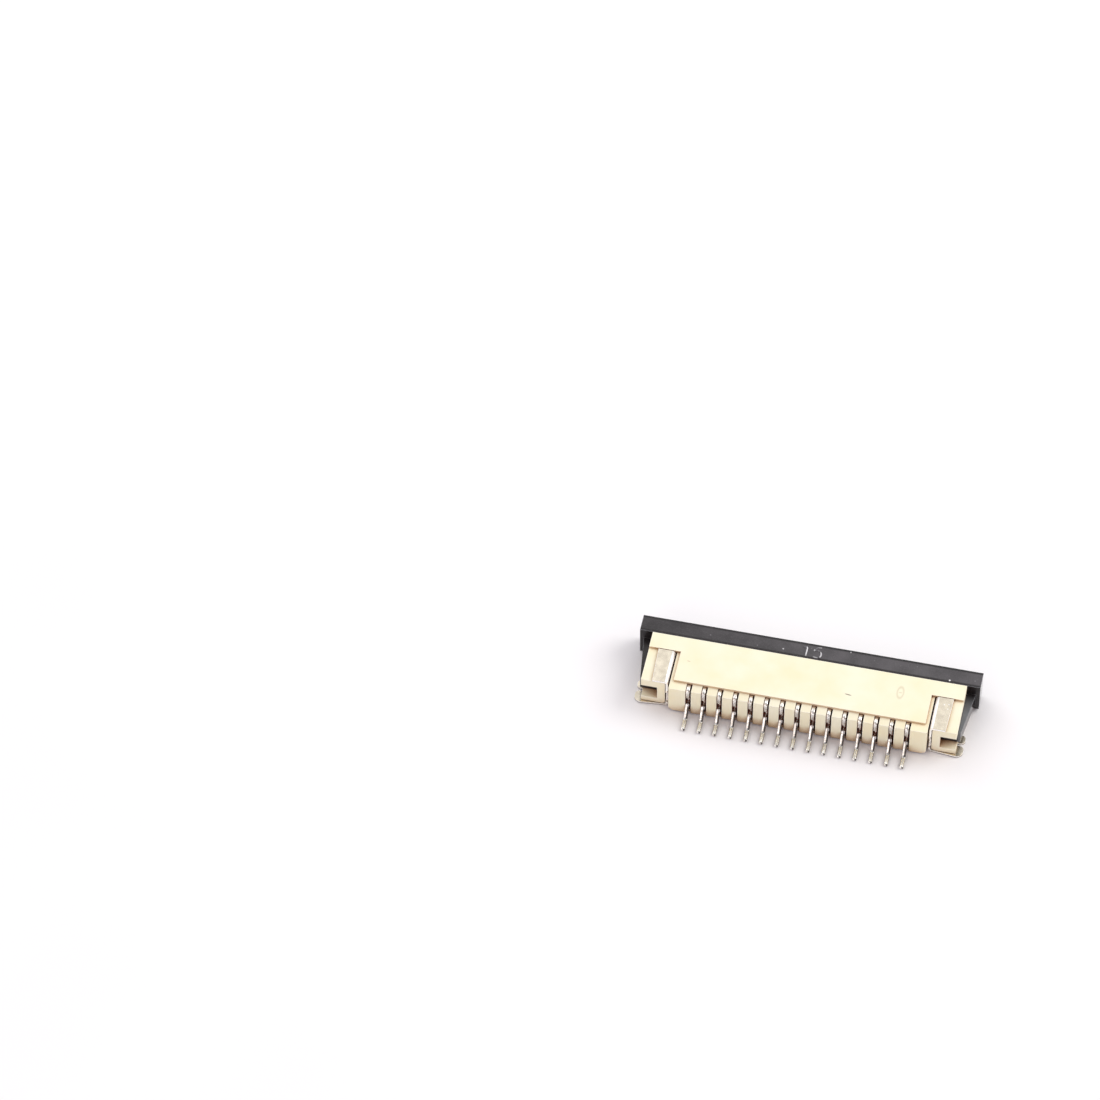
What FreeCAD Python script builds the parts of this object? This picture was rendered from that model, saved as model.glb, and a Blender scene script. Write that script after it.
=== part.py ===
import FreeCAD, Part
import os
import Sketcher

# Slide-lock connector for a flat flexible cable: right angle, surface mount, bottom contacts.
# +X runs along the contact row, +Y from the solder tails to the cable mouth, +Z away from the board.
# Each piece is drawn from the housing's rear wall (Y = 0 there). Its Placement then moves it forward, so
# that the origin is on the board at the middle of the row of solder feet.

doc = FreeCAD.newDocument("CableConnector")

# Driving dimensions, in millimetres
SIZES = [
    # Contact row and cable
    ("wayCount", 15, "number of contacts"),
    ("pitch", 1.0, "from contact to contact"),
    ("cableMargin", 1.0, "from the last contact's middle to the cable's edge"),
    ("cableGap", 0.05, "play beside the cable in the mouth"),
    # Housing, across the row
    ("lipInset", 0.15, "lip's end inside the mouth's side wall"),
    ("endWall", 0.22, "wall between the mouth and the slit"),
    ("slitWidth", 0.28, "slit beside the ear, for the solder tab's web"),
    ("earWidth", 1.55, "ear, outside the slit"),
    ("channelDepth", 1.04, "ear's channel, open outwards"),
    # Housing, from the rear wall to the mouth
    ("bodyDepth", 4.0, "rear wall to the top panel's front"),
    ("lipReach", 1.2, "lip, in front of the top panel"),
    ("stripDepth", 0.62, "low strip behind the top panel"),
    ("earInset", 0.33, "ear's rear face, inside the rear wall"),
    ("slitFront", 2.86, "front end of the slit and of the solder tab's seats"),
    ("mouthRear", 1.3, "cable stop inside the mouth"),
    # Housing, heights above the board
    ("boardGap", 0.1, "housing's underside"),
    ("floorTop", 0.62, "mouth's floor and the lip's top"),
    ("mouthTop", 1.34, "mouth's roof"),
    ("bodyTop", 2.5, "top panel"),
    ("noseHeight", 0.32, "lip's front face"),
    ("noseLead", 0.3, "sloped lead-in behind the lip's front face"),
    ("channelFloor", 0.6, "ear channel's floor"),
    ("channelTop", 1.73, "ear channel's roof"),
    ("wallRound", 0.35, "rounded lower end of the rear wall"),
    ("earRound", 0.22, "rounded lower corner of the ear at the slit"),
    ("seatGap", 0.03, "ear's underside above the solder tab's plate"),
    # Contact slots in the housing
    ("slotWidth", 0.36, "slot across the row"),
    ("slotFloor", 0.3, "slot's floor above the board"),
    ("slotEnd", 0.48, "lip left in front of the slot"),
    ("slotCover", 0.4, "housing left above the slot"),
    ("slotStop", 0.5, "slot for the upper arm ends this far behind the top panel's front"),
    ("tailNick", 0.12, "slot's opening in the underside"),
    # Contact
    ("contactSheet", 0.25, "sheet, across the row"),
    ("contactSide", 0.015, "play on the contact's left, where it leans on its slot"),
    ("contactGap", 0.03, "play between the contact and its slot"),
    ("windowBottom", 0.97, "window's lower edge, above the tail"),
    ("windowTop", 1.53, "window's upper edge, below the heel"),
    ("windowDepth", 0.4, "window, from the rear wall inwards"),
    ("webFront", 0.95, "contact's web, front edge"),
    ("armEndGap", 0.2, "upper arm's tip to the end of its slot"),
    ("armDrop", 0.2, "upper arm's top below the web's top"),
    ("armTip", 0.2, "upper arm's height at its tip"),
    ("springGap", 0.27, "spring arm's tip to the end of its slot"),
    ("springHeight", 0.2, "spring arm's height"),
    ("springLead", 0.6, "spring arm's tip, in front of the bump"),
    ("springRound", 0.08, "spring arm's rounded tip"),
    ("bumpRun", 1.4, "rise behind the bump"),
    ("clampGap", 0.14, "bump below the slider's tongue, with no cable in"),
    ("tailDepth", 0.4, "tail's height where it leaves the wall"),
    ("tailSlope", 0.475, "sloped underside, from the rear wall inwards"),
    ("kneePlace", 0.6, "tail's knee behind the rear wall"),
    ("footEnd", 1.43, "foot's end behind the rear wall"),
    ("footHeight", 0.22, "foot's height on the board"),
    ("footRound", 0.08, "foot's rounded end"),
    ("heelRound", 0.18, "heel's rounded rear corner"),
    ("bendRound", 0.25, "radius of the spring arm's and the tail's bends"),
    # Solder tab
    ("tabSheet", 0.16, "solder tab's sheet"),
    ("tabBend", 0.1, "inner radius of the tab's bends"),
    ("tabPlay", 0.04, "play between the tab and the slit's walls"),
    ("tabOverhang", 0.03, "tab's rear edge, behind the ear's rear face"),
    ("tongueWidth", 1.13, "tab's tongue on the ear, at its front end"),
    ("tongueTaper", 0.1, "tongue, narrower at its rear end"),
    ("prongReach", 0.47, "prongs, outside the ear"),
    ("rearProng", 0.7, "rear prong's front edge, from the tab's rear edge"),
    ("prongSkew", 0.18, "plate's rear edge, further back at the prong's end than at the web"),
    ("prongRound", 0.45, "rear prong's large rounded corner"),
    ("prongGap", 0.2, "notch between the prongs"),
    ("prongWidth", 0.64, "front prong"),
    ("prongFlat", 0.064, "flat end of the front prong, between its rounded corners"),
    ("notchDepth", 0.1, "web's rear edge, cut back below the tooth"),
    ("notchBottom", 0.42, "lower end of that cut"),
    ("toothHeight", 1.5, "small tooth on the tab's web"),
    ("toothReach", 0.08, "tooth behind the web's rear edge"),
    ("toothBelow", 0.08, "tooth's root below its tip"),
    ("toothAbove", 0.16, "tooth's root above its tip"),
    # Slider
    ("sliderFoot", 0.15, "end blocks' underside above the board"),
    ("sliderDrop", 0.06, "beam's top below the top panel"),
    ("beamDepth", 1.18, "beam and end blocks, front to back"),
    ("closedGap", 0.06, "beam to top panel when the lock is shut"),
    ("blockReach", 0.85, "end block, outside the ear"),
    ("blockGap", 0.07, "end block's inner face, outside the mouth's side"),
    ("leadWidth", 0.42, "end block's lead-in corner, across the row"),
    ("leadDepth", 0.55, "end block's lead-in corner, front to back"),
    ("armGap", 0.06, "arm's play in the ear's channel"),
    ("armSetback", 0.6, "arm's tip inside the ear's rear face"),
    ("armTipOut", 0.18, "arm's tip, outside the ear"),
    ("armRootOut", 0.6, "arm's root, outside the ear"),
    ("tongueInset", 0.2, "slider's tongue, inside the mouth's side"),
    ("tongueGap", 0.06, "slider's tongue below the mouth's roof"),
    ("tongueThick", 0.3, "slider's tongue"),
    ("tongueStop", 0.32, "slider's tongue, rear edge to the cable stop"),
    ("wedgeLength", 0.6, "thin rear edge of the slider's tongue"),
    ("wedgeThin", 0.12, "how much thinner that edge is"),
    ("tongueRoot", 0.5, "slider's tongue under the beam"),
    ("tongueLap", 0.02, "tongue's root inside the beam"),
]

sheet = doc.addObject("Spreadsheet::Sheet", "Sizes")
for row, (alias, value, note) in enumerate(SIZES, start=1):
    sheet.set("A%d" % row, note)
    sheet.set("B%d" % row, str(value))
    sheet.setAlias("B%d" % row, alias)
doc.recompute()

# Places across the row, from its middle to the right
ROW_HALF = "(Sizes.wayCount - 1) * Sizes.pitch / 2"
MOUTH_HALF = "(%s + Sizes.cableMargin + Sizes.cableGap)" % ROW_HALF
LIP_HALF = "(%s - Sizes.lipInset)" % MOUTH_HALF
BODY_HALF = "(%s + Sizes.endWall)" % MOUTH_HALF
EAR_IN = "(%s + Sizes.slitWidth)" % BODY_HALF
EAR_OUT = "(%s + Sizes.earWidth)" % EAR_IN
CHANNEL_IN = "(%s - Sizes.channelDepth)" % EAR_OUT
BLOCK_IN = "(%s + Sizes.blockGap)" % MOUTH_HALF
SLIDER_HALF = "(%s + Sizes.blockReach)" % EAR_OUT
# Places along the cable, from the rear wall to the mouth
LIP_FRONT = "(Sizes.bodyDepth + Sizes.lipReach)"
SLIDER_REAR = "(Sizes.bodyDepth + Sizes.closedGap)"
SLIDER_FRONT = "(%s + Sizes.beamDepth)" % SLIDER_REAR
SLOT_FRONT = "(%s - Sizes.slotEnd)" % LIP_FRONT
ARM_SLOT_FRONT = "(Sizes.bodyDepth - Sizes.slotStop)"
SPRING_TIP = "(%s - Sizes.springGap)" % SLOT_FRONT
BUMP_PLACE = "(%s - Sizes.springLead)" % SPRING_TIP
BUMP_START = "(%s - Sizes.bumpRun)" % BUMP_PLACE
# Heights above the board
SEAT_TOP = "(Sizes.bodyTop - Sizes.tabSheet)"
SLOT_ROOF = "(Sizes.bodyTop - Sizes.slotCover)"
TONGUE_TOP = "(Sizes.mouthTop - Sizes.tongueGap)"
TONGUE_BOTTOM = "(%s - Sizes.tongueThick)" % TONGUE_TOP
BEAM_BOTTOM = "(%s - Sizes.tongueLap)" % TONGUE_TOP
BUMP_TOP = "(%s - Sizes.clampGap)" % TONGUE_BOTTOM
# Cuts that leave the material run this far past its face
PAST = 1.0


def newBody(label):
    body = doc.addObject("PartDesign::Body", label)
    body.Label = label
    body.setExpression("Placement.Base.y", "(Sizes.footEnd + Sizes.kneePlace) / 2")
    return body


def originPart(body, role):
    return next(part for part in body.Origin.OriginFeatures if part.Role == role)


def addSketch(body, plane, offset, corners, name):
    # A closed outline whose corners are bound to the sheet, on one of the body's origin planes
    sketch = body.newObject("Sketcher::SketchObject", name)
    sketch.AttachmentSupport = [(originPart(body, plane), "")]
    sketch.MapMode = "FlatFace"
    sketch.setExpression("AttachmentOffset.Base.z", offset)
    places = []
    for across, up in corners:
        places.append(FreeCAD.Vector(sketch.evalExpression(across), sketch.evalExpression(up), 0))
    count = len(places)
    for index in range(count):
        following = places[(index + 1) % count]
        sketch.addGeometry(Part.LineSegment(places[index], following), False)
    for index in range(count):
        sketch.addConstraint(Sketcher.Constraint("Coincident", index, 2, (index + 1) % count, 1))
    for index, (across, up) in enumerate(corners):
        along = Sketcher.Constraint("DistanceX", -1, 1, index, 1, places[index].x)
        sketch.setExpression("Constraints[%d]" % sketch.addConstraint(along), across)
        above = Sketcher.Constraint("DistanceY", -1, 1, index, 1, places[index].y)
        sketch.setExpression("Constraints[%d]" % sketch.addConstraint(above), up)
    return sketch


def addPad(body, plane, start, length, corners, name):
    sketch = addSketch(body, plane, start, corners, name + "_outline")
    pad = body.newObject("PartDesign::Pad", name)
    pad.Profile = sketch
    pad.setExpression("Length", length)
    doc.recompute()
    return pad


def addPocket(body, plane, start, length, corners, name):
    before = body.Shape.Volume
    sketch = addSketch(body, plane, start, corners, name + "_outline")
    pocket = body.newObject("PartDesign::Pocket", name)
    pocket.Profile = sketch
    pocket.setExpression("Length", length)
    pocket.Reversed = True
    doc.recompute()
    if body.Shape.Volume >= before:
        raise RuntimeError(name + " cuts nothing")
    return pocket


def roundEdges(body, isWanted, radius, name):
    # Rounds the edges whose middle and direction satisfy the given test
    base = body.Tip
    edges = []
    for index, edge in enumerate(base.Shape.Edges, start=1):
        middle = edge.valueAt((edge.FirstParameter + edge.LastParameter) / 2)
        direction = edge.tangentAt((edge.FirstParameter + edge.LastParameter) / 2)
        if isWanted(middle, direction):
            edges.append("Edge%d" % index)
    if not edges:
        raise RuntimeError(name + " finds no edge")
    fillet = body.newObject("PartDesign::Fillet", name)
    fillet.Base = (base, edges)
    fillet.setExpression("Radius", radius)
    doc.recompute()
    return fillet


def box(low, high):
    return [(low[0], low[1]), (high[0], low[1]), (high[0], high[1]), (low[0], high[1])]


def onSide(side, corners):
    # The same outline on the right (1) or, turned over, on the left (-1) of the row's middle
    return [("%d * (%s)" % (side, across), up) for across, up in corners]


def near(first, second):
    return abs(first - second) < 0.01


SIDE_NAMES = {-1: "left", 1: "right"}


def buildHousing():
    body = newBody("housing")
    plan = [(BODY_HALF, "0"), (BODY_HALF, "Sizes.slitFront"), (EAR_IN, "Sizes.slitFront"),
            (EAR_IN, "Sizes.earInset"), (EAR_OUT, "Sizes.earInset"), (EAR_OUT, "Sizes.bodyDepth")]
    mirrored = [("-" + across, up) for across, up in reversed(plan)]
    addPad(body, "XY_Plane", "Sizes.boardGap", "Sizes.bodyTop - Sizes.boardGap", plan + mirrored, "block")
    bodyHalf = body.evalExpression(BODY_HALF)
    earIn = body.evalExpression(EAR_IN)
    isLow = lambda middle, direction: abs(direction.y) > 0.99 and near(middle.z, sheet.boardGap)
    isWallEnd = lambda middle, direction: isLow(middle, direction) and near(abs(middle.x), bodyHalf)
    roundEdges(body, isWallEnd, "Sizes.wallRound", "wall_rounds")
    lipRoot = "Sizes.mouthRear"
    lip = [(lipRoot, "Sizes.boardGap"), (LIP_FRONT, "Sizes.boardGap"),
           (LIP_FRONT, "Sizes.boardGap + Sizes.noseHeight"),
           (LIP_FRONT + " - Sizes.noseLead", "Sizes.floorTop"), (lipRoot, "Sizes.floorTop")]
    addPad(body, "YZ_Plane", "-" + LIP_HALF, "2 * " + LIP_HALF, lip, "lip")
    mouth = box(("-" + MOUTH_HALF, "Sizes.floorTop"), (MOUTH_HALF, "Sizes.mouthTop"))
    addPocket(body, "XZ_Plane", "-(Sizes.bodyDepth + Sizes.lipReach)", LIP_FRONT + " - Sizes.mouthRear",
              mouth, "mouth")
    seatIn = "(%s - Sizes.endWall)" % BODY_HALF
    past = "(%s + %s)" % (EAR_OUT, PAST)
    step = [("-" + past, "Sizes.slitFront"), ("-" + seatIn, "Sizes.slitFront"),
            ("-" + seatIn, "Sizes.stripDepth"), (seatIn, "Sizes.stripDepth"),
            (seatIn, "Sizes.slitFront"), (past, "Sizes.slitFront"),
            (past, "%s" % -PAST), ("-" + past, "%s" % -PAST)]
    addPocket(body, "XY_Plane", SEAT_TOP, "Sizes.tabSheet + %s" % PAST, step, "top_step")
    isEarTop = lambda middle, direction: (abs(direction.y) > 0.99 and near(abs(middle.x), earIn)
                                          and near(middle.z, sheet.bodyTop - sheet.tabSheet))
    roundEdges(body, isEarTop, "Sizes.tabBend + Sizes.tabPlay", "ear_top_rounds")
    for side in (-1, 1):
        seat = onSide(side, box((seatIn, "Sizes.earInset - %s" % PAST), (past, "Sizes.slitFront")))
        addPocket(body, "XY_Plane", "Sizes.boardGap - %s" % PAST,
                  "%s + Sizes.tabSheet + Sizes.seatGap - Sizes.boardGap" % PAST,
                  seat, "lower_seat_" + SIDE_NAMES[side])
        channel = onSide(side, box((CHANNEL_IN, "Sizes.channelFloor"), (past, "Sizes.channelTop")))
        addPocket(body, "XZ_Plane", "-(Sizes.bodyDepth + %s)" % PAST, "Sizes.bodyDepth + 2 * %s" % PAST,
                  channel, "channel_" + SIDE_NAMES[side])
    isEarCorner = lambda middle, direction: (abs(direction.y) > 0.99 and near(abs(middle.x), earIn)
                                             and near(middle.z, sheet.tabSheet + sheet.seatGap))
    roundEdges(body, isEarCorner, "Sizes.earRound", "ear_rounds")
    slot = [("%s" % -PAST, "%s" % -PAST), ("Sizes.tailNick", "%s" % -PAST),
            ("Sizes.tailNick", "Sizes.slotFloor"), (SLOT_FRONT, "Sizes.slotFloor"),
            (SLOT_FRONT, "Sizes.mouthTop"), (ARM_SLOT_FRONT, "Sizes.mouthTop"),
            (ARM_SLOT_FRONT, SLOT_ROOF), ("Sizes.stripDepth", SLOT_ROOF),
            ("Sizes.stripDepth", "Sizes.bodyTop + %s" % PAST), ("%s" % -PAST, "Sizes.bodyTop + %s" % PAST)]
    first = addPocket(body, "YZ_Plane", "-(%s) - Sizes.slotWidth / 2" % ROW_HALF, "Sizes.slotWidth",
                      slot, "slot")
    row = body.newObject("PartDesign::LinearPattern", "slot_row")
    row.Originals = [first]
    row.Direction = (originPart(body, "X_Axis"), [""])
    row.setExpression("Length", "2 * " + ROW_HALF)
    row.setExpression("Occurrences", "Sizes.wayCount")
    body.Tip = row
    doc.recompute()
    return body


def buildSlider():
    body = newBody("slider")
    beam = box(("-" + SLIDER_HALF, SLIDER_REAR), (SLIDER_HALF, SLIDER_FRONT))
    addPad(body, "XY_Plane", BEAM_BOTTOM, "Sizes.bodyTop - Sizes.sliderDrop - " + BEAM_BOTTOM, beam, "beam")
    armIn = "(%s + Sizes.armGap)" % CHANNEL_IN
    armRear = "(Sizes.earInset + Sizes.armSetback)"
    for side in (-1, 1):
        block = [(BLOCK_IN, SLIDER_REAR), (SLIDER_HALF, SLIDER_REAR), (SLIDER_HALF, SLIDER_FRONT),
                 (BLOCK_IN + " + Sizes.leadWidth", SLIDER_FRONT),
                 (BLOCK_IN, SLIDER_FRONT + " - Sizes.leadDepth")]
        addPad(body, "XY_Plane", "Sizes.sliderFoot", BEAM_BOTTOM + " - Sizes.sliderFoot",
               onSide(side, block), "block_" + SIDE_NAMES[side])
        arm = [(armIn, armRear), (EAR_OUT + " + Sizes.armTipOut", armRear),
               (EAR_OUT + " + Sizes.armRootOut", SLIDER_REAR), (armIn, SLIDER_REAR)]
        addPad(body, "XY_Plane", "Sizes.channelFloor + Sizes.armGap",
               "Sizes.channelTop - Sizes.channelFloor - 2 * Sizes.armGap",
               onSide(side, arm), "arm_" + SIDE_NAMES[side])
    tongueRear = "(Sizes.mouthRear + Sizes.tongueStop)"
    tongue = [(tongueRear, TONGUE_BOTTOM + " + Sizes.wedgeThin"),
              (tongueRear + " + Sizes.wedgeLength", TONGUE_BOTTOM), (SLIDER_REAR, TONGUE_BOTTOM),
              (SLIDER_REAR + " + Sizes.tongueRoot", TONGUE_TOP), (tongueRear, TONGUE_TOP)]
    tongueHalf = "(%s - Sizes.tongueInset)" % MOUTH_HALF
    addPad(body, "YZ_Plane", "-" + tongueHalf, "2 * " + tongueHalf, tongue, "tongue")
    return body


def buildContact(number):
    body = newBody("contact_%02d" % number)
    rear = "Sizes.contactGap"
    bottom = "(Sizes.slotFloor + Sizes.contactGap)"
    heelTop = "(%s - Sizes.contactGap)" % SEAT_TOP
    heelFront = "(Sizes.stripDepth - Sizes.contactGap)"
    shoulder = "(%s - Sizes.contactGap)" % SLOT_ROOF
    armBottom = "(Sizes.mouthTop + Sizes.contactGap)"
    armFront = "(%s - Sizes.armEndGap)" % ARM_SLOT_FRONT
    springTop = "(%s + Sizes.springHeight)" % bottom
    tailBottom = "(Sizes.windowBottom - Sizes.tailDepth)"
    outline = [
        # Foot on the board, knee and tail
        ("-Sizes.footEnd", "0"), ("-Sizes.kneePlace", "0"), (rear, tailBottom),
        # Spring arm with its bump
        ("Sizes.tailSlope", bottom), (BUMP_START, bottom),
        (BUMP_PLACE, BUMP_TOP + " - Sizes.springHeight"), (SPRING_TIP, bottom),
        (SPRING_TIP, springTop), (BUMP_PLACE, BUMP_TOP), (BUMP_START, springTop),
        ("Sizes.webFront + Sizes.springHeight", springTop),
        ("Sizes.webFront", springTop + " + Sizes.springHeight"),
        # Upper arm
        ("Sizes.webFront", armBottom), (armFront, armBottom), (armFront, armBottom + " + Sizes.armTip"),
        ("Sizes.webFront", shoulder + " - Sizes.armDrop"), ("Sizes.webFront", shoulder),
        # Heel and window
        (heelFront, shoulder), (heelFront, heelTop), (rear, heelTop),
        (rear, "Sizes.windowTop"), ("Sizes.windowDepth", "Sizes.windowTop"),
        ("Sizes.windowDepth", "Sizes.windowBottom"), (rear, "Sizes.windowBottom"),
        ("-Sizes.kneePlace", "Sizes.footHeight"), ("-Sizes.footEnd", "Sizes.footHeight"),
    ]
    addPad(body, "YZ_Plane", "-Sizes.contactSheet / 2", "Sizes.contactSheet", outline, "stamping")
    acrossSheet = lambda direction: abs(direction.x) > 0.99
    isFootEnd = lambda middle, direction: acrossSheet(direction) and near(middle.y, -sheet.footEnd)
    isHeelTop = lambda middle, direction: (acrossSheet(direction) and near(middle.y, sheet.contactGap)
                                           and middle.z > sheet.windowTop + 0.05)
    bends = [-sheet.kneePlace, body.evalExpression(BUMP_START), body.evalExpression(BUMP_PLACE)]
    isBend = lambda middle, direction: (acrossSheet(direction)
                                        and any(near(middle.y, place) for place in bends))
    springTip = body.evalExpression(SPRING_TIP)
    isSpringTip = lambda middle, direction: acrossSheet(direction) and near(middle.y, springTip)
    roundEdges(body, isFootEnd, "Sizes.footRound", "foot_end")
    roundEdges(body, isHeelTop, "Sizes.heelRound", "heel_corner")
    roundEdges(body, isBend, "Sizes.bendRound", "bends")
    roundEdges(body, isSpringTip, "Sizes.springRound", "spring_tip")
    lean = "(Sizes.slotWidth - Sizes.contactSheet) / 2 - Sizes.contactSide"
    place = "(%d - 1) * Sizes.pitch - %s - (%s)" % (number, ROW_HALF, lean)
    body.setExpression("Placement.Base.x", place)
    return body


def buildSolderTab(side):
    body = newBody("solder_tab_" + SIDE_NAMES[side])
    webIn = "(%s - Sizes.tabPlay - Sizes.tabSheet)" % EAR_IN
    webOut = "(%s - Sizes.tabPlay)" % EAR_IN
    top = "Sizes.bodyTop"
    rear = "(Sizes.earInset - Sizes.tabOverhang)"
    front = "(Sizes.slitFront - Sizes.tabPlay)"
    flange = "(%s + Sizes.tabBend)" % webOut
    # Web with a short flange above and below, bent from the sheet
    bracket = [(webIn, "0"), (flange, "0"), (flange, "Sizes.tabSheet"), (webOut, "Sizes.tabSheet"),
               (webOut, SEAT_TOP), (flange, SEAT_TOP), (flange, top), (webIn, top)]
    addPad(body, "XZ_Plane", "-" + front, front + " - " + rear, onSide(side, bracket), "web")
    tongueEnd = "(%s + Sizes.tongueWidth)" % webIn
    tongue = [(webOut, rear), (tongueEnd + " - Sizes.tongueTaper", rear),
              (tongueEnd, front), (webOut, front)]
    addPad(body, "XY_Plane", SEAT_TOP, "Sizes.tabSheet", onSide(side, tongue), "tongue")
    prongEnd = "(%s + Sizes.prongReach)" % EAR_OUT
    skewStart = "(%s + Sizes.tabSheet)" % flange
    notch = "(%s + Sizes.rearProng)" % rear
    frontProng = "(%s + Sizes.prongGap)" % notch
    plate = [(webOut, rear), (skewStart, rear), (prongEnd, rear + " - Sizes.prongSkew"),
             (prongEnd, notch), (EAR_OUT, notch), (EAR_OUT, frontProng), (prongEnd, frontProng),
             (prongEnd, frontProng + " + Sizes.prongWidth"),
             (EAR_OUT, frontProng + " + Sizes.prongWidth"), (EAR_OUT, front), (webOut, front)]
    addPad(body, "XY_Plane", "0", "Sizes.tabSheet", onSide(side, plate), "plate")
    webNotch = box((rear + " - %s" % PAST, "Sizes.notchBottom"),
                   (rear + " + Sizes.notchDepth", "Sizes.toothHeight - Sizes.toothBelow"))
    webSide = webIn if side > 0 else "-" + webOut
    addPocket(body, "YZ_Plane", webSide, "Sizes.tabSheet", webNotch, "web_notch")
    tooth = [(rear + " - Sizes.toothReach", "Sizes.toothHeight"),
             (rear + " + Sizes.toothReach", "Sizes.toothHeight - Sizes.toothBelow"),
             (rear + " + Sizes.toothReach", "Sizes.toothHeight + Sizes.toothAbove")]
    addPad(body, "YZ_Plane", webSide, "Sizes.tabSheet", tooth, "tooth")
    webFace = body.evalExpression(webIn)
    innerFace = body.evalExpression(webOut)
    endFace = body.evalExpression(prongEnd)
    plateRear = body.evalExpression(rear + " - Sizes.prongSkew")
    alongWeb = lambda direction: abs(direction.y) > 0.99
    isOuterBend = lambda middle, direction: (alongWeb(direction) and near(abs(middle.x), webFace)
                                             and (near(middle.z, 0) or near(middle.z, sheet.bodyTop)))
    isInnerBend = lambda middle, direction: (alongWeb(direction) and near(abs(middle.x), innerFace)
                                             and (near(middle.z, sheet.tabSheet)
                                                  or near(middle.z, sheet.bodyTop - sheet.tabSheet)))
    isRearCorner = lambda middle, direction: (abs(direction.z) > 0.99 and near(abs(middle.x), endFace)
                                              and near(middle.y, plateRear))
    isProngEnd = lambda middle, direction: (abs(direction.z) > 0.99 and near(abs(middle.x), endFace)
                                            and not near(middle.y, plateRear))
    roundEdges(body, isOuterBend, "Sizes.tabSheet + Sizes.tabBend", "outer_bends")
    roundEdges(body, isInnerBend, "Sizes.tabBend", "inner_bends")
    roundEdges(body, isProngEnd, "(Sizes.prongWidth - Sizes.prongFlat) / 2", "prong_ends")
    roundEdges(body, isRearCorner, "Sizes.prongRound", "rear_corner")
    return body


pieces = [buildHousing(), buildSlider()]
pieces += [buildContact(number) for number in range(1, int(sheet.wayCount) + 1)]
pieces += [buildSolderTab(side) for side in (-1, 1)]
doc.recompute()

for item in doc.Objects:
    if "Invalid" in item.State or "Error" in item.State:
        raise RuntimeError("%s did not build" % item.Name)
for piece in pieces:
    if piece.Shape.isNull() or not piece.Shape.isValid() or len(piece.Shape.Solids) != 1:
        raise RuntimeError("%s is not one valid solid" % piece.Label)

os.makedirs("parts", exist_ok=True)
for piece in pieces:
    piece.Shape.exportStep("parts/%s.step" % piece.Label)
print("%d pieces written" % len(pieces))
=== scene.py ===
import bpy
import math
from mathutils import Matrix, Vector


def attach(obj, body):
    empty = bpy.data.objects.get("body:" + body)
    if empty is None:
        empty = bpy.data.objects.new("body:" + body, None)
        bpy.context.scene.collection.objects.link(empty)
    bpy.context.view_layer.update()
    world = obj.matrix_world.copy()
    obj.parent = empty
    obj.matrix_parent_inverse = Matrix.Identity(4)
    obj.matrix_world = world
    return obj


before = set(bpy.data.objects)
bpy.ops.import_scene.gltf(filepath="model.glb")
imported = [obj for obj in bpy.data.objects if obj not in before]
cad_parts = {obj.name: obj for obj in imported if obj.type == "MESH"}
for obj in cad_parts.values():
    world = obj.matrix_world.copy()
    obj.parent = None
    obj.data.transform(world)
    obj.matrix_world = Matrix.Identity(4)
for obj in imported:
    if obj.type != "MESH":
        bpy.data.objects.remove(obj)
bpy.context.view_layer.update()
print("frame loaded")

mm = 0.001
contactNames = ["contact_%02d" % number for number in range(1, 16)]
tabNames = ["solder_tab_left", "solder_tab_right"]


def linearColour(hexCode):
    # sRGB hex to the linear values of a shader socket
    shares = [int(hexCode[place:place + 2], 16) / 255 for place in (1, 3, 5)]
    linear = [c / 12.92 if c <= 0.04045 else ((c + 0.055) / 1.055) ** 2.4 for c in shares]
    return (*linear, 1.0)


def setInputs(tree, node, inputs):
    # Links sockets, and sets numbers and hex colours. The inputs come in order, or by name or number
    given = inputs.items() if isinstance(inputs, dict) else enumerate(inputs)
    for name, value in given:
        if isinstance(value, bpy.types.NodeSocket):
            tree.links.new(value, node.inputs[name])
        elif isinstance(value, str):
            node.inputs[name].default_value = linearColour(value)
        else:
            node.inputs[name].default_value = value


def addNode(tree, kind, inputs=(), out=0, **settings):
    # Adds one shader node and gives its output. A MapRange takes a value, where it starts and ends, and
    # what it gives there. A Mix takes its mask at 0, numbers at 2 and 3, and colours at 6 and 7
    node = tree.nodes.new("ShaderNode" + kind)
    for name, value in settings.items():
        setattr(node, name, value)
    setInputs(tree, node, inputs)
    return node.outputs[out]


def newMaterial(name):
    # A bare material with its shader, and the object's own coordinates in millimetres
    material = bpy.data.materials.new(name)
    material.use_nodes = True
    tree = material.node_tree
    shader = tree.nodes["Principled BSDF"]
    place = addNode(tree, "TexCoord", out=3)
    inMm = addNode(tree, "VectorMath", [place, (1 / mm, 1 / mm, 1 / mm)], operation="MULTIPLY")
    return material, tree, shader, inMm


# Small marks and bright outer edges (a painted highlight on the plastics), which several finishes share
markFinish = {
    "depth": 0.05,               # mm, how far above and below its face a mark reaches
    "solid": 0.6,                # share of a filled mark's size that is solid, before it fades out
}
edgeFinish = {
    "flatToEdge": (0.985, 0.86),   # how well the rounded and the plain normal agree
    "cornerToOpen": (0.55, 0.75),  # openness, so that inner corners stay plain
    "rays": 6,                     # for the rounded normal
}


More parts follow.
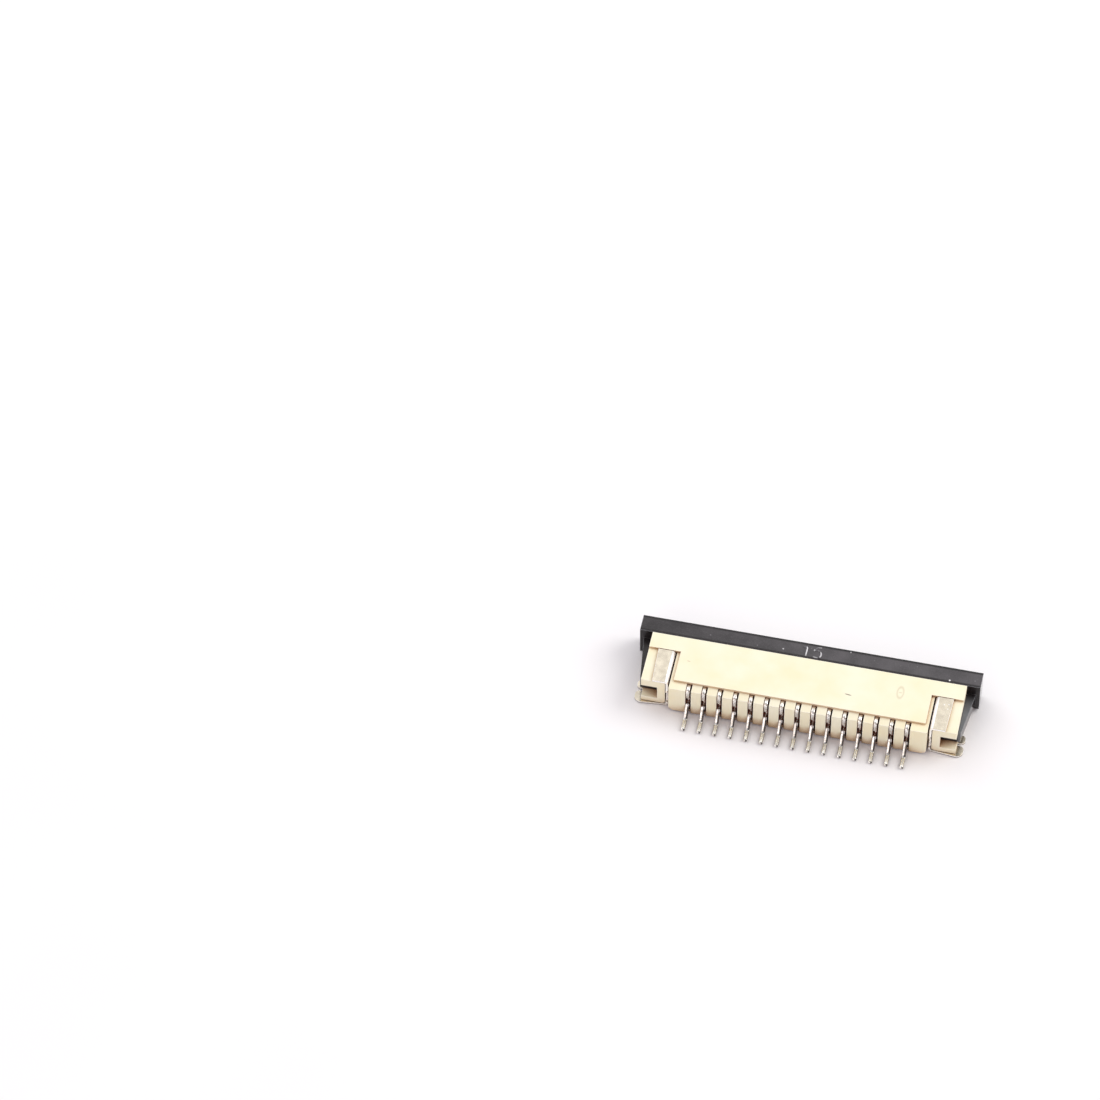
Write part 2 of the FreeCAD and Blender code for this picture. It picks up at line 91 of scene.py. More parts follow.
def paintMarks(tree, inMm, colour, marks):
    # Small ovals on level faces, filled or as rings, each blended over the colour below
    for mark in marks:
        turned = addNode(tree, "VectorRotate",
                         {"Vector": inMm, "Center": mark["at"], "Angle": mark.get("turn", 0)},
                         rotation_type="Z_AXIS")
        offset = addNode(tree, "VectorMath", [turned, mark["at"]], operation="SUBTRACT")
        halfX, halfY = mark["half"]
        shrink = (1 / halfX, 1 / halfY, 1 / markFinish["depth"])
        scaled = addNode(tree, "VectorMath", [offset, shrink], operation="MULTIPLY")
        reach = addNode(tree, "VectorMath", [scaled], out=1, operation="LENGTH")
        inside, outside = markFinish["solid"], 1.0
        if "rim" in mark:
            fromRim = addNode(tree, "Math", [reach, 1.0], operation="SUBTRACT")
            reach = addNode(tree, "Math", [fromRim], operation="ABSOLUTE")
            inside, outside = 0.0, mark["rim"]
        mask = addNode(tree, "MapRange", [reach, outside, inside, 0.0, mark["strength"]])
        colour = addNode(tree, "Mix", {0: mask, 6: colour, 7: mark["colour"]}, out=2,
                         data_type="RGBA")
    return colour


def outerEdges(tree, width, openness):
    # 1 along the outer edges, where the normal turns, and 0 on flat faces and in inner corners
    turned = addNode(tree, "Bevel", {"Radius": width * mm}, samples=edgeFinish["rays"])
    plain = addNode(tree, "NewGeometry", out=1)
    alike = addNode(tree, "VectorMath", [turned, plain], out=1, operation="DOT_PRODUCT")
    edge = addNode(tree, "MapRange", [alike, *edgeFinish["flatToEdge"]])
    free = addNode(tree, "MapRange", [openness, *edgeFinish["cornerToOpen"]])
    return addNode(tree, "Math", [edge, free], operation="MULTIPLY")


# Housing
housingFinish = {
    "cream": "#FBF6DC",          # as moulded
    "warmCream": "#FAF0CC",      # slow drift of the tone over the face
    "driftSize": 2.2,            # mm
    "drift": (0.35, 0.7),        # noise, from cream to warm
    "grainSize": 0.07,           # mm, spark-eroded mould face, drawn coarser than it is
    "grainDepth": 0.0018,        # mm
    "grainBump": 0.35,
    "grain": (0.3, 0.7),         # noise, from smooth to rough
    "roughness": (0.4, 0.52),
    "ior": 1.5,
    "edgeHighlight": "#FFFDF2",      # painted highlight along the outer edges
    "brightEdgeWidth": 0.07,            # mm
    "edgeStrength": 0.85,
    "corner": "#C8935E",         # light that bounces about in the inner corners
    "cornerReach": 0.5,          # mm
    "cornered": (0.85, 0.35, 0.0, 0.85),  # openness near by, and how tan that turns it
    "slotReach": 1.1,            # mm
    "shaded": (0.8, 0.4, 0.0, 0.7),       # openness further off, and how tan that turns it
    "deep": "#683A1E",           # painted dark shade far inside the slots
    "deepened": (0.5, 0.15),     # openness further off, from tan to dark
    "rays": 8,                   # for openness
    "edge": 0.04,                # mm, soft moulded edges
    "marks": [
        # Ejector pin's faint oval on the top and its seam, dark fleck, short scratch, gate ring below
        {"at": (6.09, 3.63, 2.5), "half": (0.2, 0.42), "rim": 0.4, "strength": 0.3, "colour": "#9A8A56"},
        {"at": (6.09, 3.63, 2.5), "half": (0.15, 0.06), "strength": 0.25, "colour": "#9A8A56"},
        {"at": (2.9, 2.79, 2.5), "half": (0.26, 0.05), "turn": 0.12, "strength": 0.8, "colour": "#6A5A46"},
        {"at": (-7.41, 3.24, 2.5), "half": (0.14, 0.035), "turn": 0.1, "strength": 0.5, "colour": "#A98F68"},
        {"at": (-4.4, 4.05, 0.1), "half": (0.45, 0.45), "rim": 0.12, "strength": 0.5, "colour": "#BFA06C"},
    ],
}


def mouldedLcp(values):
    # Liquid-crystal polymer, injection moulded in a spark-eroded tool: satin, cream, a trace of grain,
    # painted highlights on the outer edges, painted bounce light and shade tan in the corners, painted dark
    # shade far inside the slots
    material, tree, shader, inMm = newMaterial("mouldedLcp")
    drift = addNode(tree, "TexNoise", {"Vector": inMm, "Scale": 1 / values["driftSize"], "Detail": 3.0})
    grain = addNode(tree, "TexNoise", {"Vector": inMm, "Scale": 1 / values["grainSize"], "Detail": 2.0})
    warm = addNode(tree, "MapRange", [drift, *values["drift"]])
    colour = addNode(tree, "Mix", {0: warm, 6: values["cream"], 7: values["warmCream"]}, out=2,
                     data_type="RGBA")
    near = addNode(tree, "AmbientOcclusion", {"Distance": values["cornerReach"] * mm}, out=1,
                   samples=values["rays"])
    far = addNode(tree, "AmbientOcclusion", {"Distance": values["slotReach"] * mm}, out=1,
                  samples=values["rays"])
    # Painted highlight along the outer edges, kept out of the inner corners
    edges = outerEdges(tree, values["brightEdgeWidth"], near)
    lightened = addNode(tree, "Math", [edges, values["edgeStrength"]], operation="MULTIPLY")
    colour = addNode(tree, "Mix", {0: lightened, 6: colour, 7: values["edgeHighlight"]}, out=2, data_type="RGBA")
    # Painted bounce light and shade: tan in the inner corners and slots, then painted dark shade far inside
    # the slots
    cornered = addNode(tree, "MapRange", [near, *values["cornered"]])
    shaded = addNode(tree, "MapRange", [far, *values["shaded"]])
    tanned = addNode(tree, "Math", [cornered, shaded], operation="MAXIMUM")
    colour = addNode(tree, "Mix", {0: tanned, 6: colour, 7: values["corner"]}, out=2, data_type="RGBA")
    deep = addNode(tree, "MapRange", [far, *values["deepened"]])
    colour = addNode(tree, "Mix", {0: deep, 6: colour, 7: values["deep"]}, out=2, data_type="RGBA")
    colour = paintMarks(tree, inMm, colour, values["marks"])
    rough = addNode(tree, "MapRange", [grain, *values["grain"], *values["roughness"]])
    bump = addNode(tree, "Bump", {"Height": grain, "Strength": values["grainBump"],
                                  "Distance": values["grainDepth"] * mm})
    setInputs(tree, shader, {"Base Color": colour, "Roughness": rough, "Normal": bump,
                             "IOR": values["ior"]})
    return material


# Slider
sliderFinish = {
    "black": "#161112",          # as moulded
    "lightened": "#221D1E",           # a little lighter in clouds
    "cloudSize": 1.1,            # mm
    "clouds": (0.35, 0.7),       # noise, from black to worn
    "paintedSheen": "#615E61",         # painted sheen on the beam's top
    "beamMiddle": 5.665,         # mm, along the cable
    "beamBand": (0.47, 0.39),    # mm from there, from the rubbed band's border to its full tone
    "sheenAcross": (-9.0, 1.0, 0.24, 0.6),   # mm across the row, and the painted sheen there, least at the left
    "mottled": (0.35, 0.65, 0.75, 1.2),  # noise, and how much it changes the painted sheen
    "fibre": "#A9A8AC",          # ends of glass fibres at the surface
    "fibreSpacing": 0.34,        # mm
    "fibreSize": (0.136, 0.085),         # share of the spacing, from a fibre's rim to its middle
    "fibreShown": (0.82, 0.95, 0.0, 0.4),  # cell tones, of which few show a fibre
    "grainSize": 0.06,           # mm, drawn coarser than it is
    "grainGrey": (0.5, 0.85, 0.0, 0.12),   # noise, and how grey the grain turns it
    "grainDepth": 0.002,         # mm
    "grainBump": 0.5,
    "roughClouds": (0.3, 0.7),   # noise, from smooth to rough
    "roughness": (0.28, 0.42),
    "gloss": 0.38,               # a little under a clean surface's, as the fibres break it up
    "ior": 1.53,
    "sides": (0.8, 0.95),        # the normal's share across the row, from other faces to side faces
    "sideRoughness": 0.08,       # side faces, which slide along the mould's polished walls
    "edgeGreyHighlight": "#A4A8AE",       # painted highlight along the outer edges
    "brightEdgeWidth": 0.05,            # mm
    "edgeReach": 0.3,            # mm
    "edgeEnds": (9.0, 10.0, 0.3, 0.9),   # mm from the middle, and the painted highlight there, most at the two ends
    "armReflection": "#8E9399",        # painted reflection of the bright floor on the right arm's strip outside the ear
    "armStrip": (10.05, 10.15, 0.0, 0.5),  # mm right of the middle, and the painted reflection there
    "armRun": (5.0, 3.4),        # mm along the cable, from the arm's root to where the painted reflection is strongest
    "rays": 6,                   # for openness
    "edge": 0.035,               # mm
    "marks": [
        # Three pale specks on the beam
        {"at": (-1.77, 5.49, 2.44), "half": (0.06, 0.06), "strength": 0.8, "colour": "#D9D8DA"},
        {"at": (2.47, 6.1, 2.44), "half": (0.05, 0.06), "strength": 0.6, "colour": "#D9D8DA"},
        {"at": (8.95, 5.26, 2.44), "half": (0.07, 0.07), "strength": 0.95, "colour": "#F4F3F4"},
    ],
}


def mouldedGlassNylon(values):
    # Black nylon with glass fibre, injection moulded: satin, charcoal in strong light, with pale fibre
    # ends, painted highlights on the outer edges, a painted sheen on the beam and a painted reflection on
    # the right arm
    material, tree, shader, inMm = newMaterial("mouldedGlassNylon")
    cloud = addNode(tree, "TexNoise", {"Vector": inMm, "Scale": 1 / values["cloudSize"], "Detail": 4.0})
    grain = addNode(tree, "TexNoise", {"Vector": inMm, "Scale": 1 / values["grainSize"], "Detail": 2.0})
    fibreAway = addNode(tree, "TexVoronoi", {"Vector": inMm, "Scale": 1 / values["fibreSpacing"]})
    fibreTone = addNode(tree, "SeparateColor", [fibreAway.node.outputs["Color"]])
    pale = addNode(tree, "MapRange", [cloud, *values["clouds"]])
    colour = addNode(tree, "Mix", {0: pale, 6: values["black"], 7: values["lightened"]}, out=2,
                     data_type="RGBA")
    across, along = addNode(tree, "SeparateXYZ", [inMm]).node.outputs[:2]
    # Painted sheen on the beam's top, stronger towards the right, in clouds
    fromMiddle = addNode(tree, "Math", [along, values["beamMiddle"]], operation="SUBTRACT")
    aside = addNode(tree, "Math", [fromMiddle], operation="ABSOLUTE")
    onBeam = addNode(tree, "MapRange", [aside, *values["beamBand"]])
    sheenAcross = addNode(tree, "MapRange", [across, *values["sheenAcross"]])
    mottled = addNode(tree, "MapRange", [cloud, *values["mottled"]])
    sheenSpread = addNode(tree, "Math", [sheenAcross, mottled], operation="MULTIPLY")
    paintedSheen = addNode(tree, "Math", [onBeam, sheenSpread], operation="MULTIPLY")
    colour = addNode(tree, "Mix", {0: paintedSheen, 6: colour, 7: values["paintedSheen"]}, out=2, data_type="RGBA")
    grey = addNode(tree, "MapRange", [grain, *values["grainGrey"]])
    colour = addNode(tree, "Mix", {0: grey, 6: colour, 7: values["fibre"]}, out=2, data_type="RGBA")
    chosen = addNode(tree, "MapRange", [fibreTone, *values["fibreShown"]])
    dot = addNode(tree, "MapRange", [fibreAway, *values["fibreSize"]])
    speck = addNode(tree, "Math", [chosen, dot], operation="MULTIPLY")
    colour = addNode(tree, "Mix", {0: speck, 6: colour, 7: values["fibre"]}, out=2, data_type="RGBA")
    # Painted highlight along the outer edges, most at the two ends
    near = addNode(tree, "AmbientOcclusion", {"Distance": values["edgeReach"] * mm}, out=1,
                   samples=values["rays"])
    edges = outerEdges(tree, values["brightEdgeWidth"], near)
    fromCentre = addNode(tree, "Math", [across], operation="ABSOLUTE")
    atEnds = addNode(tree, "MapRange", [fromCentre, *values["edgeEnds"]])
    lightened = addNode(tree, "Math", [edges, atEnds], operation="MULTIPLY")
    colour = addNode(tree, "Mix", {0: lightened, 6: colour, 7: values["edgeGreyHighlight"]}, out=2, data_type="RGBA")
    facing = addNode(tree, "SeparateXYZ", [addNode(tree, "TexCoord", out=1)])
    sideways = addNode(tree, "Math", [facing], operation="ABSOLUTE")
    # Painted reflection of the bright floor on the right arm's strip outside the ear, left off its side
    # faces
    onStrip = addNode(tree, "MapRange", [across, *values["armStrip"]])
    toTip = addNode(tree, "MapRange", [along, *values["armRun"]])
    offSides = addNode(tree, "MapRange", [sideways, *reversed(values["sides"])])
    onArm = addNode(tree, "Math", [onStrip, toTip], operation="MULTIPLY")
    reflectedOnArm = addNode(tree, "Math", [onArm, offSides], operation="MULTIPLY")
    colour = addNode(tree, "Mix", {0: reflectedOnArm, 6: colour, 7: values["armReflection"]}, out=2, data_type="RGBA")
    colour = paintMarks(tree, inMm, colour, values["marks"])
    rough = addNode(tree, "MapRange", [cloud, *values["roughClouds"], *values["roughness"]])
    onSides = addNode(tree, "MapRange", [sideways, *values["sides"]])
    rough = addNode(tree, "Mix", {0: onSides, 2: rough, 3: values["sideRoughness"]}, data_type="FLOAT")
    bump = addNode(tree, "Bump", {"Height": grain, "Strength": values["grainBump"],
                                  "Distance": values["grainDepth"] * mm})
    setInputs(tree, shader, {"Base Color": colour, "Roughness": rough, "Normal": bump,
                             "IOR": values["ior"], "Specular IOR Level": values["gloss"]})
    return material


# Contacts
contactFinish = {
    "tin": "#FBFAF6",            # bright plating
    "dullTin": "#E2DED6",        # its duller patches
    "patchSize": 0.16,           # mm
    "dulled": (0.42, 0.62),      # noise, from bright to dull tin
    "patchDepth": 0.006,         # mm
    "patchBump": 0.6,
    "roughPatches": (0.35, 0.65),  # noise, from smooth to rough
    "roughness": (0.14, 0.34),
    "speck": "#5E5348",          # pits in the plating
    "pitSize": 0.07,             # mm
    "pitted": (0.62, 0.7, 0.0, 0.7),  # noise, and how dark a pit is
    "tornAndPaintedDark": "#383029",       # torn right half of the tails' stamped edges, left by the punch, darkened as a painted dark reflection
    "pitch": 1.0,                # mm
    "firstWay": -7.04,           # mm, middle of the first contact's sheet
    "tornFrom": (0.01, 0.05),    # mm right of the sheet's middle, where the torn half begins
    "tornStrength": 0.9,
    "rearward": (-0.2, -0.4),    # the normal's share along the cable, from level faces to the slope
    "tailTop": (0.86, 0.81),     # mm above the board, just below the tails' upper bend
    "paintedSideReflection": "#8E8378",         # painted dark reflection on the sheet's two faces
    "sides": (0.7, 0.9),         # the normal's share across the row, from stamped edges to rolled faces
    "bronze": "#D8502E",         # painted warm shade deep in the slot and in the window, drawn as bare bronze
    "slotReach": 0.4,            # mm
    "dim": (0.34, 0.16),         # openness, from plated to the painted slot shade
    "slotMouth": (0.9, 1.0),     # mm along the cable, where the slots begin
    "slotShadeOnFaces": 0.3,          # how much painted slot shade the rolled faces take, next to the stamped edges
    "slotShadeRoughness": 0.6,
    "rays": 8,                   # for openness
    "edge": 0.05,                # mm, edges rolled over by the stamping
}


def tinPlatedBronze(values):
    # Phosphor bronze, tin plated and stamped: bright edges in mirror-like and duller patches with small
    # dark pits, a torn half on the tails darkened as painted reflection, painted dark reflection on the
    # rolled faces, painted warm shade as bare bronze deep in the slots
    material, tree, shader, inMm = newMaterial("tinPlatedBronze")
    patch = addNode(tree, "TexNoise", {"Vector": inMm, "Scale": 1 / values["patchSize"], "Detail": 3.0})
    pits = addNode(tree, "TexNoise", {"Vector": inMm, "Scale": 1 / values["pitSize"], "Detail": 1.0})
    near = addNode(tree, "AmbientOcclusion", {"Distance": values["slotReach"] * mm}, out=1,
                   samples=values["rays"])
    dull = addNode(tree, "MapRange", [patch, *values["dulled"]])
    colour = addNode(tree, "Mix", {0: dull, 6: values["tin"], 7: values["dullTin"]}, out=2,
                     data_type="RGBA")
    pitted = addNode(tree, "MapRange", [pits, *values["pitted"]])
    colour = addNode(tree, "Mix", {0: pitted, 6: colour, 7: values["speck"]}, out=2, data_type="RGBA")
    facing = addNode(tree, "SeparateXYZ", [addNode(tree, "TexCoord", out=1)]).node
    across, along, height = addNode(tree, "SeparateXYZ", [inMm]).node.outputs
    halfPitch = values["pitch"] / 2
    # The tails' torn right half, darkened further as a painted dark reflection on the slopes
    counted = addNode(tree, "Math", [across, halfPitch - values["firstWay"]], operation="ADD")
    inWay = addNode(tree, "Math", [counted, values["pitch"]], operation="FLOORED_MODULO")
    tornStart, tornEnd = [halfPitch + start for start in values["tornFrom"]]
    torn = addNode(tree, "MapRange", [inWay, tornStart, tornEnd, 0.0, values["tornStrength"]])
    rearward = addNode(tree, "MapRange", [facing.outputs[1], *values["rearward"]])
    onTail = addNode(tree, "MapRange", [height, *values["tailTop"]])
    tailFront = addNode(tree, "Math", [rearward, onTail], operation="MULTIPLY")
    paintedDarkHalf = addNode(tree, "Math", [torn, tailFront], operation="MULTIPLY")
    colour = addNode(tree, "Mix", {0: paintedDarkHalf, 6: colour, 7: values["tornAndPaintedDark"]}, out=2,
                     data_type="RGBA")
    # Painted dark reflection on the sheet's two side faces
    sideways = addNode(tree, "Math", [facing.outputs[0]], operation="ABSOLUTE")
    paintedSideReflection = addNode(tree, "MapRange", [sideways, *values["sides"]])
    colour = addNode(tree, "Mix", {0: paintedSideReflection, 6: colour, 7: values["paintedSideReflection"]}, out=2, data_type="RGBA")
    # Painted warm shade deep in the slots and the window, drawn as bare bronze, non-metallic and rough
    dim = addNode(tree, "MapRange", [near, *values["dim"]])
    inSlot = addNode(tree, "MapRange", [along, *values["slotMouth"]])
    stamped = addNode(tree, "MapRange", [sideways, *reversed(values["sides"]), values["slotShadeOnFaces"]])
    dimInSlot = addNode(tree, "Math", [dim, inSlot], operation="MULTIPLY")
    paintedSlotShade = addNode(tree, "Math", [dimInSlot, stamped], operation="MULTIPLY")
    colour = addNode(tree, "Mix", {0: paintedSlotShade, 6: colour, 7: values["bronze"]}, out=2, data_type="RGBA")
    metalShare = addNode(tree, "Math", [1.0, paintedSlotShade], operation="SUBTRACT")
    rough = addNode(tree, "MapRange", [patch, *values["roughPatches"], *values["roughness"]])
    rough = addNode(tree, "Mix", {0: paintedSlotShade, 2: rough, 3: values["slotShadeRoughness"]}, data_type="FLOAT")
    bump = addNode(tree, "Bump", {"Height": patch, "Strength": values["patchBump"],
                                  "Distance": values["patchDepth"] * mm})
    setInputs(tree, shader, {"Base Color": colour, "Roughness": rough, "Normal": bump,
                             "Metallic": metalShare})
    return material


# Solder tabs
tabFinish = {
    "tin": "#E8DECA",            # satin plating, a little yellowed
    "greyTin": "#D0C6B4",        # its greyer patches
    "patchSize": 0.5,            # mm
    "greyed": (0.35, 0.65),      # noise, from tin to grey
    "lineSize": (0.05, 1.2, 1.2),  # mm, rolling lines run with the cable
    "lineDepth": 0.003,          # mm
    "lineBump": 0.4,
    "roughPatches": (0.3, 0.7),  # noise, from smooth to rough
    "roughness": (0.2, 0.32),
    "cutEdge": "#FFFDF8",        # sheared edges, brighter than the faces
    "brightEdgeWidth": 0.035,           # mm
    "edgeReach": 0.2,            # mm
    "sheared": (0.7, 0.9),       # the normal's share along the cable, from the faces to the cut ends
    "tornAndPaintedDark": "#6E645A",       # torn lower part of the plates' sheared rims, partly painted shade where they meet the floor
    "tornTop": (0.07, 0.05),     # mm above the board
    "rim": (0.7, 0.5),           # the normal's upright share, from the plates' faces to their rims
    "bendHighlight": "#FFFFFF",           # painted white highlight over the bends
    "bendStart": (0.06, 0.16),   # the normal's share across the row, from the tongue to the bend
    "bendEnd": (0.98, 0.9),      # and from the web to the bend
    "bendAlong": (0.3, 0.1),     # the normal's share along the cable, which leaves out the prongs' rims
    "bendRoughness": 0.5,
    "bendMetal": 0.45,
    "rays": 6,                   # for openness
    "edge": 0.02,                # mm
    "marks": [
        # Three pale specks on the right tab's tongue
        {"at": (8.95, 3.29, 2.5), "half": (0.06, 0.07), "strength": 0.55, "colour": "#FFFFFF"},
        {"at": (9.24, 3.36, 2.5), "half": (0.07, 0.06), "strength": 0.5, "colour": "#FFFFFF"},
        {"at": (9.22, 3.0, 2.5), "half": (0.06, 0.06), "strength": 0.45, "colour": "#FFFFFF"},
    ],
}


def tinPlatedSteel(values):
    # Steel strip, tin plated, cut and bent: satin grey with faint rolling lines, bright sheared edges
    # that are torn dark below, partly painted shade at the floor, and a painted white highlight on the bends
    material, tree, shader, inMm = newMaterial("tinPlatedSteel")
    patch = addNode(tree, "TexNoise", {"Vector": inMm, "Scale": 1 / values["patchSize"], "Detail": 4.0})
    lineScale = tuple(1 / size for size in values["lineSize"])
    stretched = addNode(tree, "VectorMath", [inMm, lineScale], operation="MULTIPLY")
    lines = addNode(tree, "TexNoise", {"Vector": stretched, "Scale": 1.0, "Detail": 2.0})
    grey = addNode(tree, "MapRange", [patch, *values["greyed"]])
    colour = addNode(tree, "Mix", {0: grey, 6: values["tin"], 7: values["greyTin"]}, out=2,
                     data_type="RGBA")
    near = addNode(tree, "AmbientOcclusion", {"Distance": values["edgeReach"] * mm}, out=1,
                   samples=values["rays"])
    edges = outerEdges(tree, values["brightEdgeWidth"], near)
    facing = addNode(tree, "SeparateXYZ", [addNode(tree, "TexCoord", out=1)]).node
    sideways, lengthways, upright = [addNode(tree, "Math", [share], operation="ABSOLUTE")
                                     for share in facing.outputs]
    sheared = addNode(tree, "MapRange", [lengthways, *values["sheared"]])
    cut = addNode(tree, "Math", [edges, sheared], operation="MAXIMUM")
    colour = addNode(tree, "Mix", {0: cut, 6: colour, 7: values["cutEdge"]}, out=2, data_type="RGBA")
    # Torn lower rims, partly painted shade where the plates meet the floor
    height = addNode(tree, "SeparateXYZ", [inMm], out=2)
    low = addNode(tree, "MapRange", [height, *values["tornTop"]])
    onRim = addNode(tree, "MapRange", [upright, *values["rim"]])
    torn = addNode(tree, "Math", [low, onRim], operation="MULTIPLY")
    colour = addNode(tree, "Mix", {0: torn, 6: colour, 7: values["tornAndPaintedDark"]}, out=2, data_type="RGBA")
    # Painted white highlight on the bends, matt and only partly metallic
    pastTongue = addNode(tree, "MapRange", [sideways, *values["bendStart"]])
    beforeWeb = addNode(tree, "MapRange", [sideways, *values["bendEnd"]])
    notAlong = addNode(tree, "MapRange", [lengthways, *values["bendAlong"]])
    curved = addNode(tree, "Math", [pastTongue, beforeWeb], operation="MULTIPLY")
    paintedBendHighlight = addNode(tree, "Math", [curved, notAlong], operation="MULTIPLY")
    colour = addNode(tree, "Mix", {0: paintedBendHighlight, 6: colour, 7: values["bendHighlight"]}, out=2, data_type="RGBA")
    colour = paintMarks(tree, inMm, colour, values["marks"])
    rough = addNode(tree, "MapRange", [patch, *values["roughPatches"], *values["roughness"]])
    rough = addNode(tree, "Mix", {0: paintedBendHighlight, 2: rough, 3: values["bendRoughness"]}, data_type="FLOAT")
    metal = addNode(tree, "Mix", {0: paintedBendHighlight, 2: 1.0, 3: values["bendMetal"]}, data_type="FLOAT")
    bump = addNode(tree, "Bump", {"Height": lines, "Strength": values["lineBump"],
                                  "Distance": values["lineDepth"] * mm})
    setInputs(tree, shader, {"Base Color": colour, "Roughness": rough, "Normal": bump,
                             "Metallic": metal})
    return material


# Soft edges on every CAD piece
softening = {
    "weld": 0.002,               # mm, points nearer than this become one
    "flat": 0.5,                 # degrees, faces that meet flatter than this become one
    "sharp": 40,                 # degrees, edges sharper than this are rounded
    "segments": 2,
    "largeFaces": 100,           # how much large faces keep their shading flat
}


def smoothShading():
    # Shades a whole piece smooth, for the weighted normals that follow
    tree = bpy.data.node_groups.new("smoothShading", "GeometryNodeTree")
    tree.interface.new_socket("Geometry", in_out="INPUT", socket_type="NodeSocketGeometry")
    tree.interface.new_socket("Geometry", in_out="OUTPUT", socket_type="NodeSocketGeometry")
    start = tree.nodes.new("NodeGroupInput")
    smooth = tree.nodes.new("GeometryNodeSetShadeSmooth")
    end = tree.nodes.new("NodeGroupOutput")
    tree.links.new(start.outputs[0], smooth.inputs["Geometry"])
    tree.links.new(smooth.outputs[0], end.inputs[0])
    return tree


smoothTree = smoothShading()


def softenEdges(piece, width):
    # Merged faces, then a small bevel all round, so that every edge catches light
    weld = piece.modifiers.new("weld", "WELD")
    weld.merge_threshold = softening["weld"] * mm
    merge = piece.modifiers.new("flatFaces", "DECIMATE")
    merge.decimate_type = "DISSOLVE"
    merge.angle_limit = math.radians(softening["flat"])
    bevel = piece.modifiers.new("softEdges", "BEVEL")
    bevel.width = width * mm
    bevel.segments = softening["segments"]
    bevel.limit_method = "ANGLE"
    bevel.angle_limit = math.radians(softening["sharp"])
    bevel.use_clamp_overlap = True
    smooth = piece.modifiers.new("smooth", "NODES")
    smooth.node_group = smoothTree
    weighted = piece.modifiers.new("weighted", "WEIGHTED_NORMAL")
    weighted.keep_sharp = False
    weighted.weight = softening["largeFaces"]


def dress(names, finish, values):
    # Gives CAD pieces one material and soft edges
    material = finish(values)
    for name in names:
        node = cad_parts[name]
        node.material_slots[0].material = material
        softenEdges(node, values["edge"])


dress(["housing"], mouldedLcp, housingFinish)
print("housing dressed")
dress(["slider"], mouldedGlassNylon, sliderFinish)
print("slider dressed")
dress(contactNames, tinPlatedBronze, contactFinish)
print("contacts dressed")
dress(tabNames, tinPlatedSteel, tabFinish)
print("solder tabs dressed")

# Way count, moulded on the slider's top
wayNumber = {
    "top": 2.44,                 # mm, the beam's top
    "rise": 0.02,                # mm
    "line": 0.05,                # mm, half a stroke's width
    "pale": "#77757A",           # painted highlight on the strokes, in patches over the slider's own dark tone
    "patchSize": 0.14,           # mm
    "patches": (0.42, 0.6),      # noise, from dark to pale
    "roughness": 0.4,
    "paintedHighlights": [
        # Painted highlights, almost white: the 1's stem, the 5's bar, stem and bowl
        {"at": (-0.28, 5.64, 0.05), "half": (0.1, 0.5), "strength": 0.75, "colour": "#F0EFF2"},
        {"at": (0.52, 6.03, 0.05), "half": (0.2, 0.09), "strength": 0.3, "colour": "#F0EFF2"},
        {"at": (0.16, 5.76, 0.05), "half": (0.1, 0.16), "strength": 0.4, "colour": "#F0EFF2"},
        {"at": (0.64, 5.5, 0.05), "half": (0.12, 0.3), "strength": 0.65, "colour": "#F0EFF2"},
        {"at": (0.3, 5.24, 0.05), "half": (0.2, 0.09), "strength": 0.3, "colour": "#F0EFF2"},
    ],
    "strokes": [
        # The 1 with its flag, then the 5's bar and stem, and its bowl, in mm across the row and along
        [(-0.52, 5.84), (-0.28, 6.03), (-0.28, 5.6), (-0.29, 5.22)],
        [(0.62, 6.04), (0.24, 6.03), (0.17, 5.74)],
        [(0.17, 5.74), (0.4, 5.83), (0.62, 5.7), (0.68, 5.48), (0.6, 5.28), (0.4, 5.21), (0.18, 5.28)],
    ],
}


def mouldedNumberEdge(values):
    # The slider's nylon on the raised strokes, with painted highlights in pale patches and near-white
    # streaks
    material, tree, shader, inMm = newMaterial("mouldedNumberEdge")
    patch = addNode(tree, "TexNoise", {"Vector": inMm, "Scale": 1 / values["patchSize"], "Detail": 2.0})
    # Painted highlights on the raised strokes, in patches, then near-white streaks
    paintedSheen = addNode(tree, "MapRange", [patch, *values["patches"]])
    colour = addNode(tree, "Mix", {0: paintedSheen, 6: sliderFinish["lightened"], 7: values["pale"]}, out=2,
                     data_type="RGBA")
    colour = paintMarks(tree, inMm, colour, values["paintedHighlights"])
    setInputs(tree, shader, {"Base Color": colour, "Roughness": values["roughness"]})
    return material


def raiseNumber(values):
    # Round strokes pressed flat, half sunk in the beam
    curve = bpy.data.curves.new("way_number", "CURVE")
    curve.dimensions = "3D"
    curve.bevel_depth = values["line"] * mm
    curve.bevel_resolution = 2
    for stroke in values["strokes"]:
        spline = curve.splines.new("NURBS")
        spline.points.add(len(stroke) - 1)
        for point, (x, y) in zip(spline.points, stroke):
            point.co = (x * mm, y * mm, 0, 1)
        spline.order_u = 3
        spline.use_endpoint_u = True
    curve.use_fill_caps = True
    number = bpy.data.objects.new("way_number", curve)
    bpy.context.scene.collection.objects.link(number)
    number.data.materials.append(mouldedNumberEdge(values))
    number.scale = (1, 1, values["rise"] / values["line"])
    number.location.z = values["top"] * mm
    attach(number, "slide_lock")


raiseNumber(wayNumber)
print("way number moulded")

